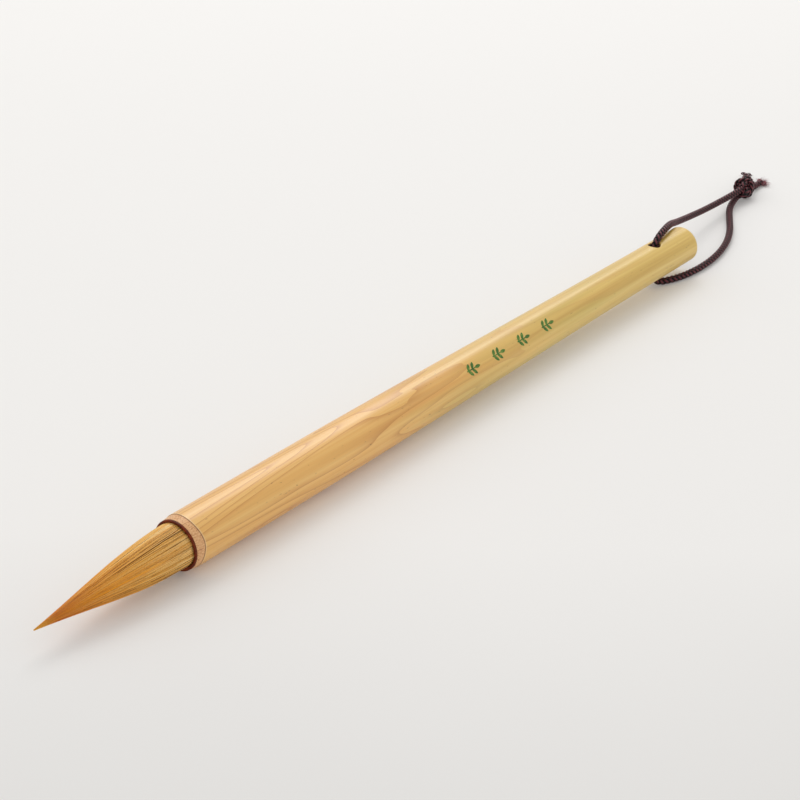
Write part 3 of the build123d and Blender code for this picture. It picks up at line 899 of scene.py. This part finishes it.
def tie_knot(starts, ends, middle, size):
    """Both legs tied together in one overhand knot and pulled tight, as two lines of points.

    The lines start as the long trefoil x = t^5 - 10t, y = t^3 - 3t, z = t^4 - 4t^2, side by side.
    Each round draws every point towards the middle of its neighbours, which shortens the lines,
    pushes apart points that are nearer than a squeezed cord's thickness, and brings the four ends
    towards their places; at last the knot is pressed into its rounded outline.
    """
    count, rounds = 84, 900
    thickness, strand_radius, lowest = 1.5, 0.8, 1.02  # in millimetres, as everything below
    held = 12  # points at each end that keep out of the rounded outline
    bearing = math.radians(18)
    length_way = np.array([math.cos(bearing), math.sin(bearing), 0])
    cross_way = np.array([-math.sin(bearing), math.cos(bearing), 0])
    up_way = np.array([0, 0, 1.0])
    starts, ends, middle = np.array(starts) / MM, np.array(ends) / MM, np.array(middle) / MM
    t = np.linspace(-2.2, 2.2, count)[:, None]
    line = middle + 1.3 * (t**5 - 10 * t) * length_way
    line = line + 3.0 * ((t**3 - 3 * t) * cross_way + (t**4 - 4 * t * t) * up_way)
    _, normal = carried_normals(line, up_way)
    lines = np.stack([line + strand_radius * normal, line - strand_radius * normal])
    first, last = lines[:, 0].copy(), lines[:, -1].copy()
    index = np.tile(np.arange(count), 2)
    strand = np.repeat([0, 1], count)
    other = strand[:, None] != strand[None]
    apart = np.abs(index[:, None] - index[None])
    half = np.array(size) / MM / 2 - strand_radius
    for step in range(rounds):
        share = float(ease(step / (0.6 * rounds)))
        lines[:, 0] = first * (1 - share) + starts * share
        lines[:, -1] = last * (1 - share) + ends * share
        lines[:, 1:-1] += 0.5 * ((lines[:, :-2] + lines[:, 2:]) / 2 - lines[:, 1:-1])
        spacing = np.linalg.norm(np.diff(lines, axis=1), axis=2).mean()
        free = other | (apart > 2.6 / spacing)
        flat = lines.reshape(-1, 3)
        for _ in range(2):
            gap = flat[:, None] - flat[None]
            distance = np.sqrt(np.einsum("ijk,ijk->ij", gap, gap)) + 1e-9
            short = np.where(free & (distance < thickness), thickness - distance, 0)
            push = np.einsum("ijk,ij->ik", gap, short / distance)
            push *= 0.8 / np.maximum((short > 0).sum(1), 1)[:, None]
            push[index == 0] = 0
            push[index == count - 1] = 0
            flat += push
        if share >= 1:
            offset = flat - middle
            parts = np.stack([offset @ length_way, offset @ cross_way, offset @ up_way], -1) / half
            out = np.linalg.norm(parts, axis=1)
            inside = (index > held) & (index < count - 1 - held) & (out > 1)
            flat[inside] -= 0.12 * (offset * (1 - 1 / out[:, None]))[inside]
        flat[:, 2] = np.maximum(flat[:, 2], lowest)
    return lines * MM


def knot_weave(lines, tails, carried, diameter, stitch):
    """Both legs braided on from where they left off, through the knot and along their tails."""
    joins = [tail[np.argmin(np.abs(tail[:, 0] - tail[0, 0] - 3 * MM))] for tail in tails]
    tied = tie_knot([line[-1] for line in lines], joins, KNOT_MIDDLE, KNOT_SIZE)
    parts, heights = [], []
    for strand, tail, join, (normal, phase) in zip(tied, tails, joins, carried):
        rest = tail[tail[:, 0] > join[0] + 0.8 * MM]
        path = soften(np.concatenate([strand, rest]), 3)
        (*made, height), _ = braid(path, normal, 0.96 * diameter, stitch, phase)
        parts.append(made)
        heights.append(height)
    return *gather(parts), np.concatenate(heights)


def cord_piece(name, weave, material):
    """A piece of the cord from its points, faces, corner coordinates and heights in the weave."""
    points, faces, uv, height = weave
    return make_piece(name, points, faces, material, "hanging_loop", {"depth": height}, uv)


# ------------------------------------------------------------------ hair
LINING_SHARE = 0.74  # of the tuft's radius, and of its length
LINING_REACH = 0.93


def hair_radius(u):
    """Radius of the whole tuft at the share u of its length from the mouth: a bellied cone."""
    return POINT_RADIUS + (HAIR_RADIUS - POINT_RADIUS) * (1 - u) * (1 + 0.95 * u * (1 - u))


def sag(u, angle):
    """How far the hair stands in from the mouth's edge on its underside."""
    under = ease((-np.cos(angle) - 0.1) / 0.9)
    return 0.4 * MM * under * np.exp(-((u / 0.18) ** 2))


def warmth(u, angle):
    """Where the hair is a warmer orange: a few bands round the tuft, strongest at mid length."""
    bands = ease((waves(angle, 71, 7, 2, 0.2) - 0.35) / 0.9)
    return bands * np.exp(-(((u - 0.5) / 0.3) ** 2))


def tuft_surface():
    """The tuft's outer layer as one closed surface, ridged along the hair.

    Outside, radius = hair_radius(u) - gaps near the mouth - the sag below + ridge height * a sum
    of cosines of the angle, whose phases drift along the hair; inside, the wall follows the layer
    within.
    """
    columns = 352
    angle = np.arange(columns) * TURN / columns
    u_out = 1 - np.linspace(0, 1, 217) ** 1.3
    u_in = np.linspace(0.0, 1, 24)
    s = np.concatenate([-u_out * HAIR_LENGTH, [1.5 * MM, THREAD_START, ROOT_END]])
    r = np.concatenate([hair_radius(u_out), [HAIR_RADIUS - 0.1 * MM, ROOT_RADIUS, ROOT_RADIUS]])
    u = np.clip(-s / HAIR_LENGTH, 0, 1)[:, None]
    draw = np.random.default_rng(11)
    ridge = np.zeros((len(s), columns))
    ridges = 34
    for k in draw.integers(7, 60, ridges):
        ridge += np.cos(k * angle[None] + draw.uniform(0, TURN) + draw.normal(0, 2.2) * u)
    ridge /= math.sqrt(ridges / 2)
    open_share = ease(1 - (s[:, None] / (1.2 * MM)))
    gaps = (0.30 * np.exp(-((u / 0.16) ** 2)) + 0.09) * MM * (1 - u) ** 0.5
    relief = 0.10 * MM * (1 - u) ** 0.6 + 0.012 * MM
    radius = r[:, None] + open_share * (relief * np.clip(ridge, -2, 2) - gaps - sag(u, angle))
    radius = np.maximum(radius, 0.03 * MM)
    s_in = np.concatenate([[ROOT_END, THREAD_START], -u_in * HAIR_LENGTH * LINING_REACH])
    r_in = LINING_SHARE * np.concatenate([[ROOT_RADIUS, ROOT_RADIUS], hair_radius(u_in)])
    all_s = np.concatenate([s, s_in])[:, None]
    all_r = np.concatenate([radius, np.repeat(r_in[:, None], columns, 1)])
    points = brush_point(all_s, all_r * np.cos(angle), all_r * np.sin(angle)).reshape(-1, 3)
    rows = len(all_s)
    poles = brush_point(np.array([s[0], s_in[-1]]), np.zeros(2), np.zeros(2))
    number = np.arange(rows * columns).reshape(rows, columns)
    faces = [
        quads_of(rows, columns),
        pole(number[0], rows * columns, flip=True),
        pole(number[-1], rows * columns + 1),
    ]
    tone = np.zeros((rows, columns))
    broad = waves(angle + 0.3 * u, 73, 18, 4, 0.25)
    # tone: broad bands that differ at random, paler towards the point; painted shade in the grooves between
    # ridges and painted light on their crests; painted shade near the mouth, where the gaps between the
    # hairs open
    tone[: len(s)] = 0.2 + 0.14 * ridge + 0.08 * broad + 0.2 * u - 0.3 * np.exp(-((u / 0.15) ** 2))
    reach = np.repeat(np.clip(-all_s / HAIR_LENGTH, 0, 1), columns, 1)
    values = {
        "reach": np.append(reach.ravel(), [1, 1]),
        "warm": np.append(warmth(reach, angle + 0 * reach).ravel(), [0, 0]),
        "tone": np.append(tone.ravel(), [0.4, 0.4]),
    }
    return np.concatenate([points, poles]), faces, values


def hair_lines(count):
    """Single hairs lying along the tuft: angle = start + drift u + a slight wave, at the tuft's radius
    less how far each is sunk.  Most reach the point, and the rest end between 0.45 and 0.95 of the way."""
    draw = np.random.default_rng(23)
    steps, sides = 18, 3
    start = (np.arange(count) + draw.uniform(0, 1, count)) * TURN / count
    clump = waves(start, 29, 30, 6, 0.3)
    full = draw.uniform(0, 1, count) < 0.6
    reach = np.where(full, draw.uniform(0.9, 1.0, count), draw.uniform(0.45, 0.95, count))
    share = np.linspace(0, 1, steps)[None, :]
    rooted = 0.035  # how far inside the mouth a hair starts, as a share of the tuft's length
    u = -rooted + (reach[:, None] + rooted) * share**0.9
    drift = draw.normal(0, 0.05, count)[:, None]
    wave = draw.normal(0, 0.018, count)[:, None] * np.sin(u * 9 + draw.uniform(0, TURN, count)[:, None])
    angle = start[:, None] + drift * u + wave
    sunk = draw.uniform(-0.02, 0.22, count)[:, None] * MM
    thick = draw.uniform(0.05, 0.15, count)[:, None] * MM * (1 - 0.75 * np.clip(u, 0, 1))
    held = np.clip(u, 0, 1)
    radius = hair_radius(held) - sunk * (1 - held) ** 0.7 - thick - sag(held, angle)
    closing = 0.25 * (held - 0.9) * 10 * draw.uniform(0, 1, count)[:, None]
    radius = radius * np.where(held > 0.9, 1 - closing, 1)
    up, side = np.cos(angle), np.sin(angle)
    lines = brush_point(-u * HAIR_LENGTH, radius * up, radius * side)
    outward = up[..., None] * UP + side[..., None] * SIDE
    points, faces, uv = thin_tubes(lines, outward, thick, thick * 1.25, sides)
    broad = waves(start, 73, 18, 4, 0.25)
    dark = np.where(draw.uniform(0, 1, count) < 0.15, 0.6, 0.0)
    tone = 0.6 + 0.2 * draw.normal(0, 1, count) + 0.08 * clump + 0.12 * broad - dark
    # painted shade: hairs that lie deeper are made darker
    tone -= 1.1 * (sunk[:, 0] / MM - 0.08)
    warm = warmth(held, angle) * draw.uniform(0.3, 1, (count, 1))
    values = {
        "reach": np.repeat(held.ravel(), sides),
        "warm": np.repeat(warm.ravel(), sides),
        "tone": np.repeat(np.clip(tone, 0, 1), steps * sides),
    }
    return points, faces, uv, values


def squarish(wave):
    """A sine or cosine pushed out towards -1 and 1, which makes a round section nearly square."""
    return np.sign(wave) * np.abs(wave) ** 0.55


def lip_surface():
    """The lacquered lip: a ring with a rounded, nearly square section, turned round the mouth.

    Its inner side is uneven and stands back on the underside, where the hair hangs away from it.
    """
    columns = 160
    angle = np.arange(columns) * TURN / columns
    turn = np.linspace(0, TURN, 20, endpoint=False)[:, None]
    depth = LIP_END - LIP_START - 0.06 * MM
    inner, outer = HAIR_RADIUS + 0.02 * MM, LIP_RADIUS - 0.02 * MM
    uneven = 0.05 * MM * waves(angle, 41, 9, 1, 0.6)[None]
    under = ease((-np.cos(angle) - 0.2) / 0.8)[None] * 0.38 * MM
    ragged = 1 + 0.4 * uneven / (0.1 * MM) * (np.cos(turn) > 0)
    s = -depth / 2 - depth / 2 * squarish(np.cos(turn)) * ragged
    middle, half = (inner + outer) / 2, (outer - inner) / 2
    wall = squarish(np.sin(turn))
    radius = middle + half * wall + np.where(wall < 0, uneven - under, 0.1 * uneven) * np.abs(wall)
    points = brush_point(s, radius * np.cos(angle), radius * np.sin(angle)).reshape(-1, 3)
    rows = len(turn)
    return points, [quads_of(rows + 1, columns) % (rows * columns)]


# ------------------------------------------------------------------ frayed ends
def off_the_end(end, outwards, ahead, aside, rise, lowest):
    """Lines from a cut end: "ahead" of it, "aside" and "rise" off that, and never under the lowest."""
    across = np.cross((0, 0, 1.0), outwards)
    lines = end + ahead[..., None] * outwards + aside[..., None] * across
    lines = lines + rise[..., None] * np.array([0, 0, 1.0])
    lines[..., 2] = np.maximum(lines[..., 2], lowest)
    return lines


def split_yarns(end, outwards, count, seed):
    """Yarns let loose from the cord's cut end: each runs out, then curls over in its own direction.

    A yarn's heading swings by its own angle from a third of its length on, and its points are the
    running sum of steps along that heading.
    """
    draw = np.random.default_rng(seed)
    steps = 44
    share = np.linspace(0, 1, steps)[None]
    about = (np.arange(count) * TURN / count + 0.6)[:, None]
    lean = np.array([0.42, -0.16, -0.5, 0.12])[:count, None]
    curl = np.array([3.6, -4.4, -1.3, 2.2])[:count, None]
    long = np.array([3.4, 3.0, 2.1, 2.4])[:count, None] * MM
    heading = lean * ease(share * 3) + curl * ease((share - 0.36) / 0.64)
    step = long / steps
    ahead = np.cumsum(np.cos(heading) * step, 1) - 0.5 * MM
    aside = np.cumsum(np.sin(heading) * step, 1) + 0.5 * MM * np.cos(about) * (1 - 0.3 * share)
    hump = 0.25 * MM * np.sin(share * 3) * draw.uniform(0.2, 1, count)[:, None]
    rise = 0.42 * MM * np.sin(about) * (1 - share) + hump
    lines = off_the_end(end, outwards, ahead, aside, rise, 0.28 * MM)
    outward = np.broadcast_to(np.array([0, 0.2, 1.0]), lines.shape)
    taper = 1 - 0.55 * ease((share - 0.8) / 0.2)
    return thin_tubes(lines, outward, 0.2 * MM * taper, 0.27 * MM * taper, 7)


def loose_fibres(end, outwards, count, seed, spread, length):
    """Fine fibres fanned out from the cord's cut end, each a slight arc."""
    draw = np.random.default_rng(seed)
    share = np.linspace(0, 1, 7)[None]
    turn = draw.normal(0, spread, count)[:, None]
    bend = draw.normal(0, 0.5, count)[:, None] * share
    long = draw.uniform(0.45, 1.0, count)[:, None] * length
    ahead = long * share * np.cos(turn + bend) - 0.5 * MM
    aside = long * share * np.sin(turn + bend) + draw.normal(0, 0.32, count)[:, None] * MM
    height = draw.normal(0, 0.3, count)[:, None] * MM
    rise = height + draw.normal(-0.15, 0.2, count)[:, None] * long * share
    lines = off_the_end(end, outwards, ahead, aside, rise, 0.06 * MM)
    outward = np.broadcast_to(np.array([0.1, 0.2, 1.0]), lines.shape)
    thick = 0.035 * MM * (1 - 0.5 * share)
    return thin_tubes(lines, outward, thick, thick, 3)


def frayed(parts):
    """Loose yarns and fibres together, all at one height in the weave, which in the yarn finish gives them
    some of the painted shade.
    """
    points, faces, uv = gather(parts)
    return points, faces, uv, np.full(len(points), 0.8)


# ------------------------------------------------------------------ operators
class BrushPiece:
    """What every piece's operator shares."""

    bl_options = {"REGISTER", "UNDO"}


def finish_node(name, material):
    """Give a piece that keeps its own mesh its finish."""
    node = bpy.data.objects[name]
    node.data.materials.clear()
    node.data.materials.append(material)


class BRUSH_OT_cord(BrushPiece, bpy.types.Operator):
    """Braid both legs of the hanging cord, tie them together, and let the cut ends fray"""

    bl_idname = "brush.cord"
    bl_label = "Hanging cord"

    def execute(self, context):
        settings = context.scene.brush_settings
        diameter, stitch = settings.cord_diameter, settings.stitch_length
        yarn = cord_finish(settings)
        side = np.array([0, 1.0, 0])
        top_line, bottom_line = lines = [smooth_line(TOP_LEG), smooth_line(BOTTOM_LEG)]
        tails = [smooth_line(LONG_TAIL), smooth_line(SHORT_TAIL)]
        weaves, carried = zip(*[braid(line, side, diameter, stitch) for line in lines])
        top = cord_piece("cord_top", weaves[0], yarn)
        bottom = cord_piece("cord_bottom", weaves[1], yarn)
        knot = cord_piece("cord_knot_and_tails", knot_weave(lines, tails, carried, diameter, stitch), yarn)

        end, way = tails[0][-1], unit((tails[0][-1] - tails[0][-8]) * (1, 1, 0))
        curls = [split_yarns(end, way, 4, 51), loose_fibres(end, way, 26, 52, 0.35, 3.0 * MM)]
        long_end = cord_piece("frayed_yarns", frayed(curls), yarn)
        end, way = tails[1][-1], unit((tails[1][-1] - tails[1][-8]) * (1, 1, 0))
        fluff = [loose_fibres(end, way, 240, 61, 0.30, 3.1 * MM), split_yarns(end, way, 2, 62)]
        short_end = cord_piece("frayed_fibres", frayed(fluff), fibre_finish(settings))

        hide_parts("cord_leg_top")
        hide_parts("cord_leg_bottom")
        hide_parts("cord_knot", "cord_tail_long", "cord_tail_short")
        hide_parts("frayed_end_long")
        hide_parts("frayed_end_short")
        return {"FINISHED"}


class BRUSH_OT_tuft(BrushPiece, bpy.types.Operator):
    """Lay the tuft's outer hair, with single hairs on it"""

    bl_idname = "brush.tuft"
    bl_label = "Tuft of hair"

    def execute(self, context):
        finish = hair_finish(context.scene.brush_settings)
        points, faces, values = tuft_surface()
        layer = make_piece("tuft_layer", points, faces, finish, "brush", values)
        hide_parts("cover_hair")
        points, faces, uv, values = hair_lines(context.scene.brush_settings.hair_count)
        make_piece("tuft_hairs", points, faces, finish, "brush", values, uv)
        return {"FINISHED"}


class BRUSH_OT_lip(BrushPiece, bpy.types.Operator):
    """Brush the dark lacquered lip round the mouth"""

    bl_idname = "brush.lip"
    bl_label = "Mouth lip"

    def execute(self, context):
        finish = lip_finish(context.scene.brush_settings)
        points, faces = lip_surface()
        lip = make_piece("lacquered_lip", points, faces, finish, "brush")
        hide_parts("mouth_lip")
        return {"FINISHED"}


class BRUSH_OT_tail(BrushPiece, bpy.types.Operator):
    """Finish the lacquered tail and the pith plug behind it"""

    bl_idname = "brush.tail"
    bl_label = "Tail"

    def execute(self, context):
        finish_node("tail_lacquer", tail_finish(context.scene.brush_settings))
        pith = plain_finish("pith", (176, 140, 92), (214, 184, 138), scale=900, rough=0.7, along=0.15)
        finish_node("tail_plug", pith)
        return {"FINISHED"}


class BRUSH_OT_marks(BrushPiece, bpy.types.Operator):
    """Paint the leaf sprigs"""

    bl_idname = "brush.marks"
    bl_label = "Leaf marks"

    def execute(self, context):
        finish_node("leaf_marks", paint_finish(context.scene.brush_settings))
        return {"FINISHED"}


class BRUSH_OT_root(BrushPiece, bpy.types.Operator):
    """Finish the bound and glued root of the tuft, which the bamboo hides"""

    bl_idname = "brush.root"
    bl_label = "Bound root"

    def execute(self, context):
        finishes = {
            "lining_hair": ((206, 182, 140), (236, 218, 182), 2400, 0.5, 0.03),
            "core_hair": ((84, 60, 38), (138, 104, 68), 2400, 0.45, 0.03),
            "root_thread": ((196, 186, 168), (228, 220, 204), 3000, 0.7),
            "root_resin": ((92, 50, 18), (138, 82, 32), 500, 0.25),
            "socket_glue": ((182, 150, 96), (210, 184, 134), 700, 0.4),
        }
        for node, looks in finishes.items():
            finish_node(node, plain_finish(node, *looks))
        return {"FINISHED"}


class BRUSH_OT_bamboo(BrushPiece, bpy.types.Operator):
    """Make the bamboo tube with its shaved mouth and worn cross hole"""

    bl_idname = "brush.bamboo"
    bl_label = "Bamboo tube"

    def execute(self, context):
        skin = bamboo_finish(context.scene.brush_settings)
        points, faces, values = bamboo_surface()
        corner = math.radians(50)
        tube = make_piece("bamboo_tube", points, faces, skin, "brush", values, sharp=corner)
        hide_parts("bamboo_shaft")
        return {"FINISHED"}


class BRUSH_OT_stage(BrushPiece, bpy.types.Operator):
    """Lay the pale table, light it softly from behind, and set the camera"""

    bl_idname = "brush.stage"
    bl_label = "Stage"

    def execute(self, context):
        settings = context.scene.brush_settings
        lay_table(context, table_finish(settings))
        light_room(context)
        add_lamp(context, "window", (0.68, 0.40, 0.80), 0.6, 3.4, (1.0, 0.99, 0.98))
        add_lamp(context, "fill", (-0.10, 0.85, 0.75), 0.9, 1.6, (1.0, 0.99, 0.985))
        set_camera(context, settings.lens, settings.camera_distance)
        context.scene.view_settings.view_transform = "Standard"
        return {"FINISHED"}


def table_finish(settings):
    """Matt pale paper with painted light: a faint glow that lifts the shadows, and painted shade that
    darkens it towards the front.
    """
    # painted light: the paper glows a little, though it is no lamp, to lift the shadows
    paper = Finish("table_paper", Roughness=0.75, Emission_Strength=0.12)
    paper.shader.inputs["Emission Color"].default_value = shade(settings.table, 1, 1, 1)
    place = paper.place()
    # painted shade: the paper darkens towards the front of the stage
    back = paper.add("VectorMath", {0: place, 1: (0.80, 0.58, 0)}, operation="DOT_PRODUCT")
    mottle = paper.between(paper.noise(place, 6.0, detail=2), 0.3, 0.7, -0.02, 0.02)
    share = paper.between(paper.plus(back.outputs["Value"], mottle), -0.30, 0.22)
    painted_falloff = [(at, grey, grey, grey) for at, grey in ((0.0, 0.70), (0.25, 0.88), (0.5, 1.0), (1.0, 0.97))]
    paper.join(paper.tones(share, settings.table, *painted_falloff), "Base Color")
    return paper.material


def lay_table(context, paper):
    """A flat square at z = 0, 6 m wide."""
    half = 3.0
    corners = [(-half, -half, 0), (half, -half, 0), (half, half, 0), (-half, half, 0)]
    mesh = bpy.data.meshes.new("table_top")
    mesh.from_pydata(corners, [], [(0, 1, 2, 3)])
    mesh.materials.append(paper)
    table = bpy.data.objects.new("table_top", mesh)
    context.scene.collection.objects.link(table)


def light_room(context):
    """Even light from all round."""
    world = bpy.data.worlds.new("soft_room")
    world.use_nodes = True
    background = world.node_tree.nodes["Background"]
    background.inputs["Color"].default_value = (1.0, 0.99, 0.98, 1)
    background.inputs["Strength"].default_value = 0.72
    context.scene.world = world


def add_lamp(context, name, place, size, power, tint):
    """A square soft lamp that faces the frame's origin, near the middle of the brush."""
    lamp = bpy.data.objects.new(name, bpy.data.lights.new(name, "AREA"))
    lamp.data.size = size
    lamp.data.energy = power
    lamp.data.color = tint
    lamp.location = place
    lamp.rotation_mode = "QUATERNION"
    lamp.rotation_quaternion = (-Vector(place)).to_track_quat("-Z", "Y")
    context.scene.collection.objects.link(lamp)


def set_camera(context, lens, distance):
    """A camera that stands off the mouth, above and beside the tuft, and looks along the tube."""
    camera = bpy.data.objects.new("camera", bpy.data.cameras.new("camera"))
    camera.data.lens = lens
    camera.data.sensor_width = 36.0
    camera.data.clip_start = 0.01
    swing, down = math.radians(44), math.radians(30.3)
    gaze = np.array([math.cos(swing) * math.cos(down), math.sin(swing) * math.cos(down), -math.sin(down)])
    place = MOUTH - gaze * distance
    aim = np.array([0.0143, 0.0130, -0.0010])
    camera.location = place
    camera.rotation_mode = "QUATERNION"
    camera.rotation_quaternion = Vector(aim - place).to_track_quat("-Z", "Y")
    context.scene.collection.objects.link(camera)
    context.scene.camera = camera


class BRUSH_PT_pieces(bpy.types.Panel):
    """Lists the pieces in the order that they are made, with the sizes that can be changed"""

    bl_idname = "BRUSH_PT_pieces"
    bl_label = "Calligraphy brush"
    bl_space_type = "VIEW_3D"
    bl_region_type = "UI"
    bl_category = "Brush"

    def draw(self, context):
        settings = context.scene.brush_settings
        for name in settings.__annotations__:
            self.layout.prop(settings, name)
        for piece in PIECES:
            self.layout.operator(piece.bl_idname)


PIECES = (
    BRUSH_OT_stage,
    BRUSH_OT_cord,
    BRUSH_OT_bamboo,
    BRUSH_OT_tuft,
    BRUSH_OT_lip,
    BRUSH_OT_tail,
    BRUSH_OT_marks,
    BRUSH_OT_root,
)
CLASSES = (BrushSettings, *PIECES, BRUSH_PT_pieces)


def register():
    for one in CLASSES:
        bpy.utils.register_class(one)
    bpy.types.Scene.brush_settings = bpy.props.PointerProperty(type=BrushSettings)


def unregister():
    del bpy.types.Scene.brush_settings
    for one in reversed(CLASSES):
        bpy.utils.unregister_class(one)


def main():
    register()
    for piece in PIECES:
        name = piece.bl_idname.split(".")[1]
        getattr(bpy.ops.brush, name)()


if __name__ == "__main__":
    main()
